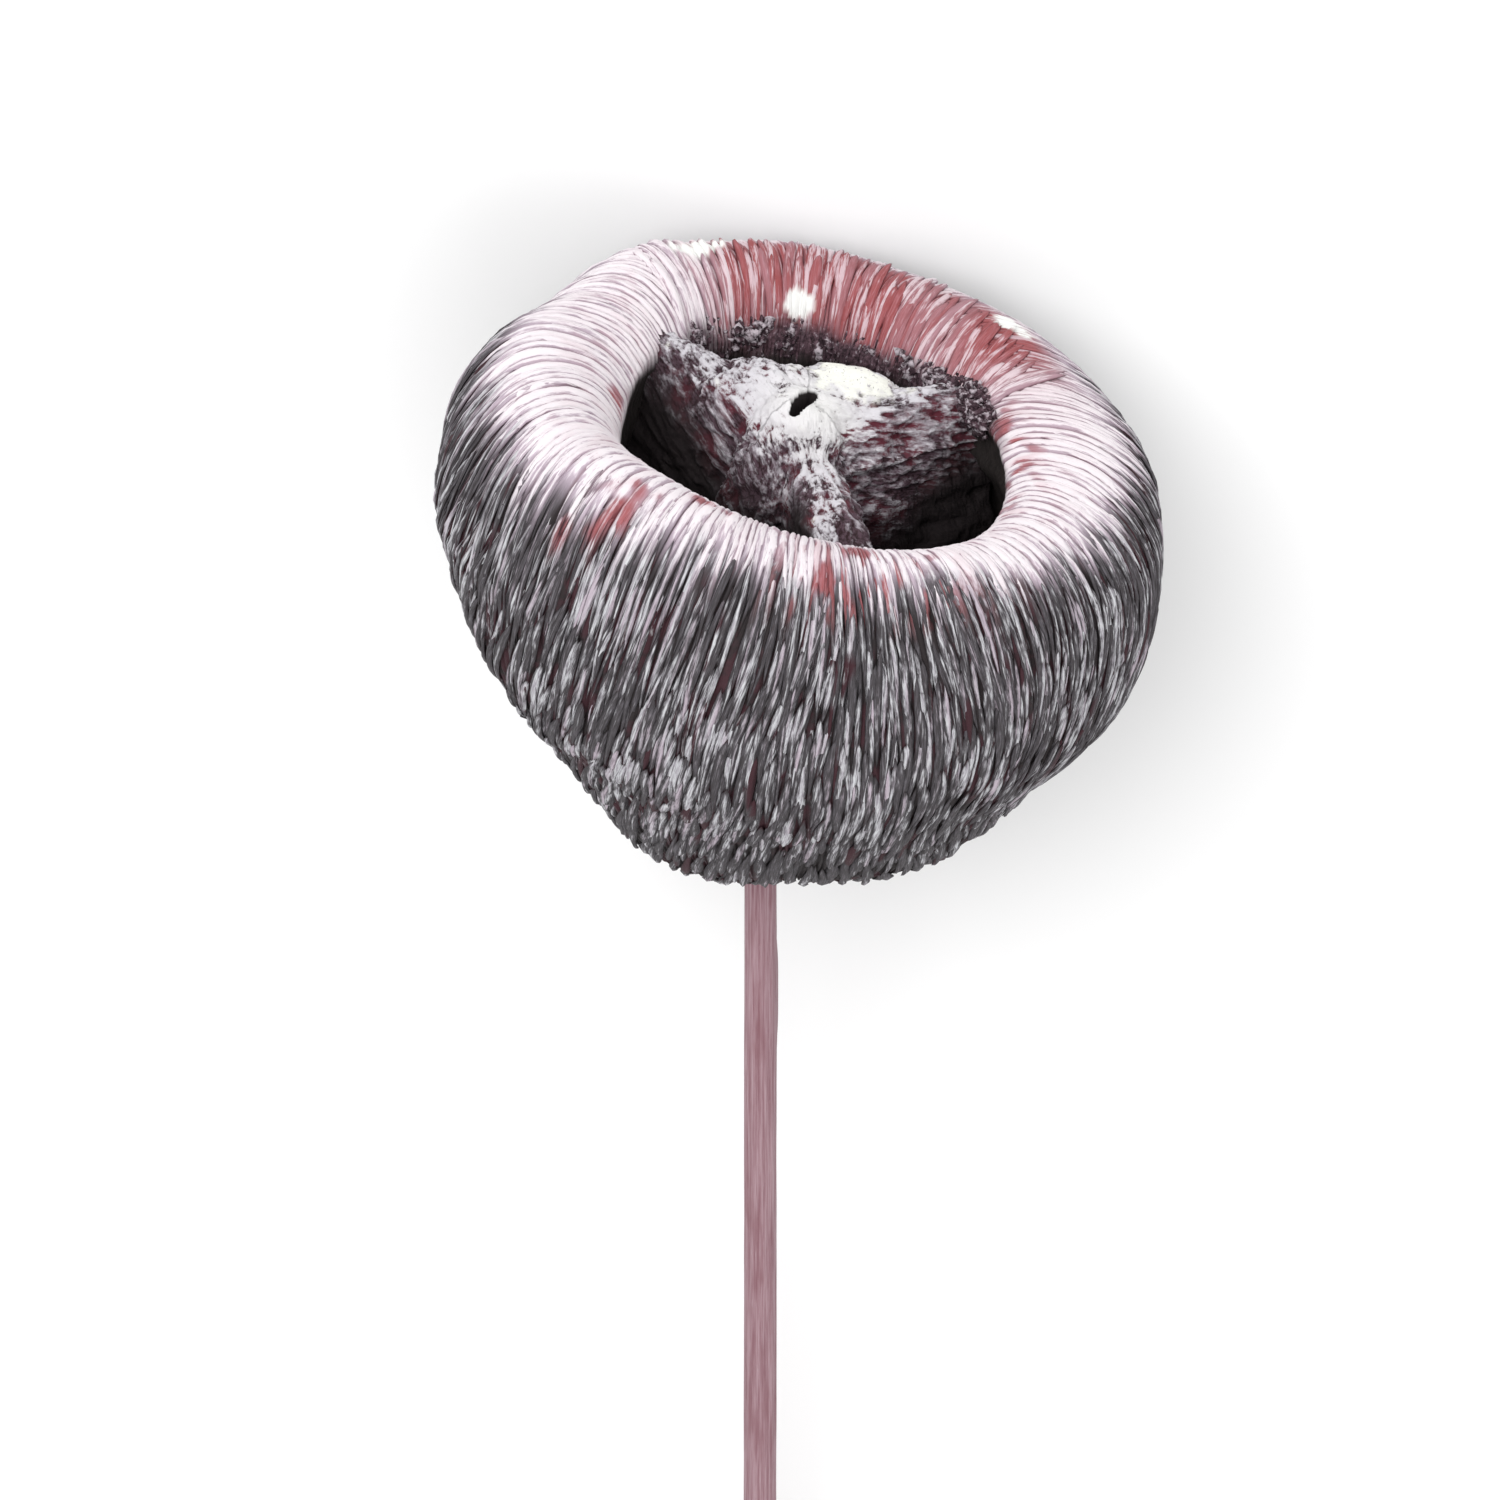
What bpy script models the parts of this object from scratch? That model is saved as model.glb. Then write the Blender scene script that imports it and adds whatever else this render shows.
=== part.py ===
"""A dried, three-chambered seed pod on a round wooden stick, lying on its side.

The pod is one grown piece: a thick fibrous husk whose wall rolls over a wide mouth, with a
three-armed partition inside that leaves three deep chambers. The stick is glued into a hole
drilled in the pod's base. The pod rests on a worn flat spot on its back, and the stick's
cut end touches the same surface. +Z is up, and the mouth faces +Y and a little upward.
The origin lies on the flat spot, on the surface.
"""

import math

import bmesh
import bpy
from mathutils import Matrix, Vector, noise

# Overall size of the pod, in metres.
BELLY_RADIUS = 0.0470
THROAT_RADIUS = 0.0240
THROAT_SHIFT = 0.0010
RIM_HEIGHT = 0.0149
POD_DEPTH = 0.0553

# How the pod departs from a turned shape.
LOBE_TURN = math.radians(90)
BELLY_LOBES = 0.044
THROAT_LOBES = 0.085
BASE_TAPER = 1.15
# Where the belly swells or is flattened: the turn, how wide, and how much.
SWELLS = [
    (math.radians(90), math.radians(38), -0.050),
    (math.radians(48), math.radians(24), 0.035),
    (math.radians(152), math.radians(26), -0.026),
]
LEAN = math.radians(11)
LEAN_SHIFT = 0.0020
LEAN_POWER = 4
LUMP_HEIGHT = 0.0016
LUMP_SIZE = 0.021
TERRACE_HEIGHT = 0.0006
TERRACES = 6
RIGHT_FULLNESS = 0.032
LEFT_UNDERCUT = 0.175

# Raised fibre ribs, broader and fewer than the real ones.
RIBS = 80
RIB_HEIGHT = 0.0011
RIB_FADE_START = -76
SCAR_TURN = -80

# The partition and the three chambers.
FLOOR_TURN = 143
HUB_RISE = 0.0032
CHAMBER_DEPTH = 0.0450
CHAMBER_SWELL = 0.03
CHAMBER_CORNERS = 0.08
CHAMBER_SIDES = 24
HUB = Vector((0.0020, 0.0020, 0.0))
# For each chamber: its turn round the hub, its middle's distance from the hub, and how far
# its opening reaches from that middle along and across that line.
CHAMBERS = [
    (math.radians(-28), 0.0178, 0.0113, 0.0130),
    (math.radians(218), 0.0159, 0.0116, 0.0139),
    (math.radians(80), 0.0172, 0.0096, 0.0122),
]
HUB_HOLE = (0.0011, 0.0022, 0.0200)
HUB_HOLE_PLACE = (0.0020, 0.0022)

# The stick and its hole.
STICK_RADIUS = 0.00215
STICK_END_RADIUS = 0.00235
STICK_SHOWN = 0.228
STICK_SUNK = 0.018
STICK_SIDES = 16
HOLE_GAP = 0.0003
STICK_OFFSET = -0.0038

# How it lies.
CENTRE_HEIGHT = 0.0439
CENTRE_FORWARD = 0.0030

HUSK_COLOUR = (0.30, 0.24, 0.26, 1.0)
STICK_COLOUR = (0.33, 0.15, 0.19, 1.0)


def clear_scene():
    for old in list(bpy.data.objects):
        bpy.data.objects.remove(old, do_unlink=True)


def material(name, colour, roughness):
    made = bpy.data.materials.new(name)
    made.use_nodes = True
    shader = made.node_tree.nodes["Principled BSDF"]
    shader.inputs["Base Color"].default_value = colour
    shader.inputs["Roughness"].default_value = roughness
    shader.inputs["Metallic"].default_value = 0.0
    return made


def lying_frame():
    """From the pod's own frame, +Z out of its mouth, to the frame in which it lies."""
    reach = POD_DEPTH + STICK_SHOWN
    slope = math.asin(CENTRE_HEIGHT / math.hypot(reach, STICK_END_RADIUS))
    slope -= math.atan(STICK_END_RADIUS / reach)
    place = Matrix.Translation((0, CENTRE_FORWARD, CENTRE_HEIGHT))
    return place @ Matrix.Rotation(slope - math.pi / 2, 4, "X")


def lobes(turn):
    """1 over the middle of each chamber, -1 over each arm of the partition."""
    return math.cos(3 * (turn - LOBE_TURN))


def near(turn, middle, spread):
    """1 at the middle, falling smoothly to 0 on either side round the pod."""
    apart = (turn - middle + math.pi) % math.tau - math.pi
    return math.exp(-((apart / spread) ** 2))


def smooth_point(turn, bend):
    """A point of the husk without its ribs, in the pod's own frame.

    turn goes round the pod. bend, in degrees, goes from -90 at the base through 0 at the
    belly and 90 on the rim's crest to 180 in the throat.
    """
    angle = math.radians(bend)
    belly = BELLY_RADIUS * (1 + BELLY_LOBES * lobes(turn))
    for middle, spread, share in SWELLS:
        belly *= 1 + share * near(turn, middle, spread)
    throat = THROAT_RADIUS * (1 + THROAT_LOBES * lobes(turn))
    throat += THROAT_SHIFT * math.cos(turn)
    if bend <= 0:
        radius = belly * math.cos(angle) ** BASE_TAPER
        height = POD_DEPTH * math.sin(angle)
        low_half = math.sin(min(math.pi, -2.5 * angle))
        radius *= 1 + RIGHT_FULLNESS * low_half * near(turn, math.radians(-10), 1.1)
        radius *= 1 - LEFT_UNDERCUT * low_half * near(turn, math.radians(185), 0.9)
    else:
        radius = (belly + throat) / 2 + (belly - throat) / 2 * math.cos(angle)
        height = RIM_HEIGHT * math.sin(angle)
    return Vector((radius * math.cos(turn), radius * math.sin(turn), height))


def lumps(point, bend):
    """How far the husk swells in or out at a point, by broad lumps and growth terraces."""
    swell = LUMP_HEIGHT * noise.noise(point / LUMP_SIZE)
    drift = 2.0 * noise.noise(point / 0.040)
    below = max(0.0, min(1.0, -bend / 25))
    swell += TERRACE_HEIGHT * below * math.sin(math.radians(bend) * 2 * TERRACES + drift)
    return swell


def leaned(point):
    """The pod leans to one side, more towards its mouth."""
    rise = max(0.0, (point.z + POD_DEPTH) / (POD_DEPTH + RIM_HEIGHT)) ** LEAN_POWER
    shifted = Vector(point)
    shifted.x += LEAN_SHIFT * rise
    shifted.z -= point.x * math.tan(LEAN) * rise
    return shifted


def rib_height(turn, bend, raised):
    """Half the depth of a rib's groove, up on its crest and down in its valley."""
    fade = max(0.0, min(1.0, (bend - RIB_FADE_START) / 30))
    uneven = 0.75 + 0.5 * noise.noise(Vector((turn * 9, bend / 22, 3.1)))
    return RIB_HEIGHT / 2 * fade * uneven * (1 if raised else -1)


def husk_ring(shape, bend, count):
    """One ring of the husk's skin. Every second point is a rib's crest while ribs last."""
    ring = []
    ribbed = count == 2 * RIBS
    for step in range(count):
        turn = math.tau * step / count
        point = smooth_point(turn, bend)
        middle = Vector((point.x, point.y, 0)).normalized()
        centre = middle * (BELLY_RADIUS + THROAT_RADIUS) / 2 if bend > 0 else Vector()
        outward = (point - centre).normalized()
        height = lumps(point, bend)
        if ribbed:
            height += rib_height(turn, bend, step % 2 == 0)
        ring.append(shape.verts.new(leaned(point + outward * height)))
    return ring


def join_rings(shape, low, high):
    """Fills between two rings that go the same way round. One may have half as many points."""
    count = min(len(low), len(high))
    for i in range(count):
        j = (i + 1) % count
        if len(low) == len(high):
            shape.faces.new((low[i], low[j], high[j], high[i]))
        elif len(low) > len(high):
            a, b, c = (low[(2 * i + k) % len(low)] for k in range(3))
            shape.faces.new((a, b, high[i]))
            shape.faces.new((b, c, high[j], high[i]))
        else:
            a, b, c = (high[(2 * i + k) % len(high)] for k in range(3))
            shape.faces.new((b, a, low[i]))
            shape.faces.new((c, b, low[i], low[j]))


def close_ring(shape, ring, centre):
    """Fills a ring to one middle point. The ring runs anticlockwise seen from outside."""
    middle = shape.verts.new(centre)
    for i, corner in enumerate(ring):
        shape.faces.new((corner, ring[(i + 1) % len(ring)], middle))


def ring_middle(ring):
    return sum((v.co for v in ring), Vector()) / len(ring)


def floor_rings(shape, edge):
    """The top of the partition, before the chambers are cut: a low dome inside the rim."""
    middle = ring_middle(edge)
    rings = [edge]
    count = len(edge)
    for share in (0.72, 0.45, 0.20):
        count //= 2
        step = len(edge) // count
        ring = []
        for i in range(count):
            spot = middle.lerp(edge[i * step].co, share)
            spot.z += HUB_RISE * (1 - share * share)
            ring.append(shape.verts.new(spot))
        rings.append(ring)
    for outer, inner in zip(rings, rings[1:]):
        join_rings(shape, outer, inner)
    close_ring(shape, rings[-1], middle + Vector((0, 0, HUB_RISE)))


def husk_body():
    """The closed husk with a shallow domed floor in its mouth, before anything is cut."""
    shape = bmesh.new()
    bends = [SCAR_TURN, -76, -70, -63, -56, -49, -42, -35, -28, -21, -14, -7, 0]
    bends += [16, 33, 50, 67, 84, 102, 121, FLOOR_TURN]
    counts = [RIBS // 2, RIBS, RIBS] + [2 * RIBS] * (len(bends) - 3)
    rings = [husk_ring(shape, bend, count) for bend, count in zip(bends, counts)]
    for low, high in zip(rings, rings[1:]):
        join_rings(shape, low, high)
    base = ring_middle(rings[0])
    close_ring(shape, list(reversed(rings[0])), base - Vector((0, 0, 0.0004)))
    floor_rings(shape, rings[-1])
    return shape


def chamber_cutter(turn, distance, along, across):
    """One chamber's hollow: a bulging three-cornered well that starts above the rim."""
    cutter = bmesh.new()
    outward = Vector((math.cos(turn), math.sin(turn), 0))
    sideways = Vector((-math.sin(turn), math.cos(turn), 0))
    top = RIM_HEIGHT * 2
    levels = [top, 0.010, 0.004, -0.003, -0.010, -0.018, -0.026, -0.032, -0.0355]
    rings = []
    for level in levels:
        deep = max(0.0, min(1.0, (RIM_HEIGHT - level) / CHAMBER_DEPTH))
        side = 1 + CHAMBER_SWELL * math.sin(math.pi * min(1.0, deep * 1.3))
        side *= math.sqrt(max(0.02, 1 - max(0.0, (deep - 0.55) / 0.5) ** 2))
        middle = HUB + outward * distance * (1 - 0.25 * deep * deep)
        ring = []
        for step in range(CHAMBER_SIDES):
            local = math.tau * step / CHAMBER_SIDES
            reach = side * (1 - CHAMBER_CORNERS * math.cos(3 * local))
            spot = middle + outward * along * reach * math.cos(local)
            spot += sideways * across * reach * math.sin(local)
            spot.z = level
            ring.append(cutter.verts.new(leaned(spot)))
        rings.append(ring)
    for high, low in zip(rings, rings[1:]):
        join_rings(cutter, low, high)
    close_ring(cutter, rings[0], ring_middle(rings[0]))
    close_ring(cutter, list(reversed(rings[-1])), ring_middle(rings[-1]) - Vector((0, 0, 0.001)))
    return cutter


def rod(radius_x, radius_y, low, high, sides, place=(0, 0)):
    """An upright rod, for cutting a hole."""
    shape = bmesh.new()
    rings = []
    for level in (low, high):
        ring = []
        for step in range(sides):
            turn = math.tau * (step + 0.5) / sides
            spot = (place[0] + radius_x * math.cos(turn), place[1] + radius_y * math.sin(turn), level)
            ring.append(shape.verts.new(spot))
        rings.append(ring)
    join_rings(shape, rings[0], rings[1])
    shape.faces.new(rings[1])
    shape.faces.new(list(reversed(rings[0])))
    return shape


def object_from(shape, name, paint=None):
    mesh = bpy.data.meshes.new(name)
    shape.to_mesh(mesh)
    shape.free()
    made = bpy.data.objects.new(name, mesh)
    bpy.context.scene.collection.objects.link(made)
    if paint:
        mesh.materials.append(paint)
    return made


def cut(body, cutters):
    """Takes the cutters out of the body, and removes them from the scene."""
    for cutter in cutters:
        boolean = body.modifiers.new(cutter.name, "BOOLEAN")
        boolean.operation = "DIFFERENCE"
        boolean.solver = "EXACT"
        boolean.object = cutter
    bpy.context.view_layer.update()
    graph = bpy.context.evaluated_depsgraph_get()
    result = bpy.data.meshes.new_from_object(body.evaluated_get(graph))
    body.modifiers.clear()
    body.data = result
    for cutter in cutters:
        bpy.data.objects.remove(cutter, do_unlink=True)


def press_flat(mesh):
    """Wears the pod flat where it would reach below the surface that it lies on."""
    for vertex in mesh.vertices:
        vertex.co.z = max(0.0, vertex.co.z)


def make_pod(lying):
    pod = object_from(husk_body(), "pod", material("husk", HUSK_COLOUR, 0.85))
    cutters = [
        object_from(chamber_cutter(*chamber), f"chamber_{i}")
        for i, chamber in enumerate(CHAMBERS)
    ]
    across, along, deep = HUB_HOLE
    hub = rod(across, along, RIM_HEIGHT - deep, RIM_HEIGHT * 2, 10, HUB_HOLE_PLACE)
    cutters.append(object_from(hub, "hub_hole"))
    bore_radius = STICK_RADIUS + HOLE_GAP
    bore_top = STICK_SUNK + HOLE_GAP - POD_DEPTH
    bore = rod(bore_radius, bore_radius, -2 * POD_DEPTH, bore_top, STICK_SIDES, (STICK_OFFSET, 0))
    cutters.append(object_from(bore, "stick_bore"))
    cut(pod, cutters)
    pod.data.transform(lying)
    press_flat(pod.data)
    pod.data.shade_flat()
    return pod


def make_stick(lying):
    """A round stick that thickens a little towards its cut end."""
    shape = bmesh.new()
    stations = [(STICK_SUNK, STICK_RADIUS), (0.0, STICK_RADIUS)]
    stations += [(-STICK_SHOWN * 0.3, STICK_END_RADIUS), (-STICK_SHOWN, STICK_END_RADIUS)]
    rings = []
    for along, radius in stations:
        ring = []
        for step in range(STICK_SIDES):
            turn = math.tau * (step + 0.5) / STICK_SIDES
            across = STICK_OFFSET + radius * math.cos(turn)
            spot = (across, radius * math.sin(turn), along - POD_DEPTH)
            ring.append(shape.verts.new(spot))
        rings.append(ring)
    for high, low in zip(rings, rings[1:]):
        join_rings(shape, low, high)
    shape.faces.new(rings[0])
    shape.faces.new(list(reversed(rings[-1])))
    stick = object_from(shape, "stick", material("stick_wood", STICK_COLOUR, 0.7))
    stick.data.transform(lying)
    stick.data.shade_smooth()
    stick.data.set_sharp_from_angle(angle=math.radians(40))
    return stick


def main():
    clear_scene()
    lying = lying_frame()
    make_pod(lying)
    make_stick(lying)


main()
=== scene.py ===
"""A dried, whitewashed seed pod on a stick, lying on a pale table.

The husk is one skin of fine fibre ribs that runs from the base, over the rolled rim and down
into the pod. A three-armed partition stands inside it, and the stick is glued into its base.
Everything is worked out in the pod's own frame, +Z out of its mouth, and then laid down.
"""

import math
from math import radians

import bmesh
import bpy
import numpy as np
from mathutils import Matrix, Vector, noise


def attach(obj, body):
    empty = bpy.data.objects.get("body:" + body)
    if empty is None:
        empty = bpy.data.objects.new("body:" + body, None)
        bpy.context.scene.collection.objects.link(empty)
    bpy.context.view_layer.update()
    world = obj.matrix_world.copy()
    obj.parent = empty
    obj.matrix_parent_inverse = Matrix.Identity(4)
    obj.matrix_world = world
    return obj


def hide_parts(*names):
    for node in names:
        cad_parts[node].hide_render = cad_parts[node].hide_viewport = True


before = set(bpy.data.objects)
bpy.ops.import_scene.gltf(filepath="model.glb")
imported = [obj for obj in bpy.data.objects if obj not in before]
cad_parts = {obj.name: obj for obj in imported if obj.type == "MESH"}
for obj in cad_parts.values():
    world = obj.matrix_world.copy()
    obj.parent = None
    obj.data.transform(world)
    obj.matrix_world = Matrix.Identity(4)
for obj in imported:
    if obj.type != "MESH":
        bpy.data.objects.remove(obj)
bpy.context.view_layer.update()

# The pod's form, as in the part's source.
BELLY_RADIUS = 0.0470
THROAT_RADIUS = 0.0240
RIM_HEIGHT = 0.0149
POD_DEPTH = 0.0553
LOBE_TURN = radians(90)
BELLY_LOBES = 0.044
BASE_TAPER = 1.15
SWELLS = [
    (radians(90), radians(38), -0.050),
    (radians(48), radians(24), 0.035),
    (radians(152), radians(26), -0.026),
]
LEAN = radians(11)
LEAN_SHIFT = 0.0020
LEAN_POWER = 4
LUMP_HEIGHT = 0.0016
LUMP_SIZE = 0.021
TERRACE_HEIGHT = 0.0006
TERRACES = 6
RIGHT_FULLNESS = 0.032
LEFT_UNDERCUT = 0.175
HUB = Vector((0.0004, 0.0020, 0.0))
HUB_TOP = 0.0125
STICK_RADIUS = 0.00215
STICK_END_RADIUS = 0.00235
STICK_SHOWN = 0.228
STICK_SUNK = 0.018
STICK_OFFSET = -0.0038
STICK_SIDES = 56
STICK_CUTS = 300
CENTRE_HEIGHT = 0.0439
CENTRE_FORWARD = 0.0030

# The husk's skin: fine ribs, each a few columns of the mesh wide.
RIBS = 186
RIB_COLUMNS = 5
COLUMNS = RIBS * RIB_COLUMNS
LINING_DEPTH = 0.036
UNDERCUT = 0.0034
# The throat's radius in millimetres and the rim's share of its height, every 30 degrees.
THROAT = [23.8, 22.8, 24.6, 26.0, 23.8, 21.2, 21.4, 24.8, 24.8, 22.8, 28.4, 27.2]
RIM_SHARE = [1.0, 1.0, 1.0, 1.0, 1.0, 1.0, 1.0, 1.0, 0.98, 0.90, 0.87, 0.94]
# Red-brown smears on the front of the rim: turn, bend and how far each spreads both ways.
SMEARS = [
    (-125, 60, 5.0, 26), (-111, 103, 5.0, 14), (-79, 94, 4.0, 11), (-87, 62, 2.5, 26),
    (165, 144, 6.0, 13), (-174, 143, 4.5, 13),
]
# Spots of thick white paint on the back of the rim, given in the same way.
SPLASHES = [(114, 92, 7.5, 11), (45, 74, 5.5, 13), (91, 134, 3.4, 8)]
# The front of the rim is pinched, and the fibres fan out from there.
PINCH_TURN = radians(-83)
CRUMBS = 2800
# No fibre's middle lies nearer than this to the stick's axis.
STICK_CLEARANCE = 0.0046
# The sine and cosine of the angle at which the photo looks down into the pod.
VIEW_SINE, VIEW_COSINE = 0.5446, 0.8387


def lying_frame():
    """From the pod's own frame, +Z out of its mouth, to the frame in which it lies."""
    reach = POD_DEPTH + STICK_SHOWN
    slope = math.asin(CENTRE_HEIGHT / math.hypot(reach, STICK_END_RADIUS))
    slope -= math.atan(STICK_END_RADIUS / reach)
    place = Matrix.Translation((0, CENTRE_FORWARD, CENTRE_HEIGHT))
    return place @ Matrix.Rotation(slope - math.pi / 2, 4, "X")


LYING = lying_frame()


# The pod's form.


def turn_from(turn, middle):
    """How far round the pod a place lies from a middle, between -pi and pi."""
    return (turn - middle + math.pi) % math.tau - math.pi


def bell(value, spread):
    """1 at 0, falling smoothly to 0 on either side."""
    return np.exp(-((value / spread) ** 2))


def near(turn, middle, spread):
    """1 at the middle, falling smoothly to 0 on either side round the pod."""
    return bell(turn_from(turn, middle), spread)


def near_degrees(turn, middle, spread):
    return near(turn, radians(middle), radians(spread))


def step_up(value, low, high):
    """0 below low, 1 above high, smooth between."""
    share = np.clip((value - low) / (high - low), 0, 1)
    return share * share * (3 - 2 * share)


def round_table(values, turn):
    """A smooth curve through values that are evenly spaced round the pod."""
    table = np.array(values)
    place = turn / math.tau * len(table)
    first = np.floor(place).astype(int)
    share = place - first
    a, b, c, d = (table[(first + step) % len(table)] for step in (-1, 0, 1, 2))
    curve = 2 * a - 5 * b + 4 * c - d + share * (3 * (b - c) + d - a)
    return b + 0.5 * share * (c - a + share * curve)


def smooth_husk(turn, bend):
    """Points of the husk without ribs. bend goes from -90 at the base to 180 in the throat,
    and on to 270 at the bottom of the hollow inside."""
    angle = np.radians(bend)
    lobes = np.cos(3 * (turn - LOBE_TURN))
    belly = BELLY_RADIUS * (1 + BELLY_LOBES * lobes)
    for middle, spread, share in SWELLS:
        belly = belly * (1 + share * near(turn, middle, spread))
    throat = 0.001 * round_table(THROAT, turn)
    low_half = np.sin(np.minimum(math.pi, -2.5 * np.minimum(angle, 0)))
    base = belly * np.abs(np.cos(angle)) ** BASE_TAPER
    base *= 1 + RIGHT_FULLNESS * low_half * near(turn, radians(-10), 1.1)
    base *= 1 - LEFT_UNDERCUT * low_half * near(turn, radians(185), 0.9)
    square = np.maximum(near(turn, radians(160), 0.80), near(turn, radians(5), 0.75))
    throat = throat + UNDERCUT * square * step_up(bend, 146, 180)
    roll = (belly + throat) / 2 + (belly - throat) / 2 * np.cos(angle)
    deep = np.clip((bend - 180) / 90, 0, 1)
    lining = throat * (1 + 0.20 * np.sin(math.pi * np.minimum(1, deep * 1.5)))
    lining *= np.sqrt(np.clip(1 - deep ** 5, 0, 1))
    radius = np.where(bend <= 0, base, np.where(bend <= 180, roll, lining))
    rim = RIM_HEIGHT * round_table(RIM_SHARE, turn)
    rolled = np.clip(np.sin(angle), 1e-9, 1) ** (1 - 0.50 * square * (bend > 90))
    height = np.where(bend <= 0, POD_DEPTH * np.sin(angle), rim * rolled)
    height = np.where(bend > 180, -LINING_DEPTH * deep, height)
    return np.stack([radius * np.cos(turn), radius * np.sin(turn), height], -1)


def way_along(turn, bends):
    """Distances in metres along the skin, from the first of some bends to each of them."""
    line = smooth_husk(np.full(len(bends), turn), bends)
    steps = np.linalg.norm(np.diff(line, axis=0), axis=1)
    return np.concatenate([[0], np.cumsum(steps)])


def skin_line():
    """Bends and the distances along the skin that go with them, on the pod's front."""
    bends = np.linspace(-90, 180, 541)
    return bends, way_along(-math.pi / 2, bends)


def gather(turn, bend):
    """How far a fibre turns towards the pinch at the front of the rim, how far it slants on
    the left, and how far it turns to the back where it goes over the rim on either side."""
    bends, line = skin_line()
    way = np.interp(bend, bends, line)
    low, foot, high = np.interp([-26, -36, 78], bends, line)
    apart = turn_from(turn, PINCH_TURN)
    share = step_up(way, low, high) * (1 - step_up(bend, 150, 190))
    pinch = -0.62 * apart * bell(apart, 0.55) * share
    sweep = 0.26 * near(turn, radians(20), 0.75) - 0.30 * near(turn, radians(150), 0.75)
    slope = 0.13 * near(turn, radians(-142), 0.70) * step_up(way, foot, high)
    return pinch + slope + sweep * step_up(bend, 20, 140)


def lean(points):
    """The pod leans to one side, more towards its mouth."""
    rise = np.clip((points[..., 2] + POD_DEPTH) / (POD_DEPTH + RIM_HEIGHT), 0, None)
    rise = rise ** LEAN_POWER
    shifted = points.copy()
    shifted[..., 0] += LEAN_SHIFT * rise
    shifted[..., 2] -= points[..., 0] * math.tan(LEAN) * rise
    return shifted


def noise_at(points, size, shift=0.0):
    """Smooth noise, about -1 to 1, at each point."""
    scaled = points.reshape(-1, 3) / size + shift
    values = [noise.noise(Vector(spot)) for spot in scaled.tolist()]
    return np.array(values).reshape(points.shape[:-1])


def lumps(points, bend):
    """Broad lumps and growth terraces, as in the part's source, and small knobs low down."""
    swell = LUMP_HEIGHT * noise_at(points, LUMP_SIZE)
    drift = 2.0 * noise_at(points, 0.040)
    below = np.clip(-bend / 25, 0, 1)
    rings = TERRACE_HEIGHT * below * np.sin(np.radians(bend) * 2 * TERRACES + drift)
    turn = np.arctan2(points[..., 1], points[..., 0])
    left = near_degrees(turn, -165, 42) * below
    knobs = noise_at(points, 0.0062, 31.0)
    return swell + rings + (0.00022 + 0.0006 * left) * below * knobs


def outward_from(points, bend):
    """Which way a point of the husk faces, roughly: away from the rim's ring or the middle."""
    flat = points.copy()
    flat[..., 2] = 0
    length = np.linalg.norm(flat, axis=-1, keepdims=True)
    ring = flat / np.maximum(length, 1e-9) * (BELLY_RADIUS + THROAT_RADIUS) / 2
    centre = np.where((bend > 0)[..., None], ring, 0.0)
    way = points - centre
    inside = np.stack([-flat[..., 0], -flat[..., 1], 0.012 + 0 * bend], -1)
    way = np.where((bend > 180)[..., None], inside, way)
    return way / np.maximum(np.linalg.norm(way, axis=-1, keepdims=True), 1e-9)


# Meshes and objects.


def as_mesh(shape, name):
    """A mesh with a shape's faces. The shape is used up."""
    mesh = bpy.data.meshes.new(name)
    shape.to_mesh(mesh)
    shape.free()
    return mesh


def as_shape(mesh):
    """A shape with a mesh's faces. The mesh is used up."""
    shape = bmesh.new()
    shape.from_mesh(mesh)
    bpy.data.meshes.remove(mesh)
    return shape


def add_object(name, data):
    added = bpy.data.objects.new(name, data)
    bpy.context.scene.collection.objects.link(added)
    return added


def get_points(mesh):
    points = np.zeros(len(mesh.vertices) * 3, np.float32)
    mesh.vertices.foreach_get("co", points)
    return points.reshape(-1, 3)


def set_points(mesh, points):
    mesh.vertices.foreach_set("co", points.astype(np.float32).ravel())


def modified(body):
    """The mesh that an object's modifiers make. The object is used up."""
    bpy.context.view_layer.update()
    graph = bpy.context.evaluated_depsgraph_get()
    mesh = bpy.data.meshes.new_from_object(body.evaluated_get(graph))
    bpy.data.objects.remove(body, do_unlink=True)
    return mesh


def finished(shape, name, node):
    """Turns a shape into a piece that stands for its CAD node."""
    piece = add_object(name, as_mesh(shape, name))
    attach(piece, "root")
    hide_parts(node)
    return piece


# The husk's skin.


def laid_down(points):
    """From the pod's own frame to the place where it lies, nothing below the table."""
    laid = points @ np.array(LYING.to_3x3()).T + np.array(LYING.translation)
    laid[..., 2] = np.maximum(laid[..., 2], 0.0)
    return laid


def skin_bends():
    """Where the skin's rows lie: close together on the rim, wider where fibres cover it."""
    base = np.linspace(-90, -62, 6)
    outside = np.linspace(-58, 13, 20)
    rim = np.linspace(16.0, 168, 57)
    throat = np.array([170.5, 173, 175.5, 178, 179.5])
    inside = np.array([181, 186, 193, 202, 213, 226, 240, 252, 262, 270])
    return np.concatenate([base, outside, rim, throat, inside])


def spots_of(places, turn, bend, slant):
    """1 in the middle of each of some spots, falling smoothly to 0 round it."""
    result = np.zeros_like(turn)
    for where, bent, wide, tall in places:
        middle = radians(where) + slant * (bend - bent)
        spot = near(turn, middle, radians(wide)) * bell(bend - bent, tall)
        result = np.maximum(result, spot)
    return result


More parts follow.
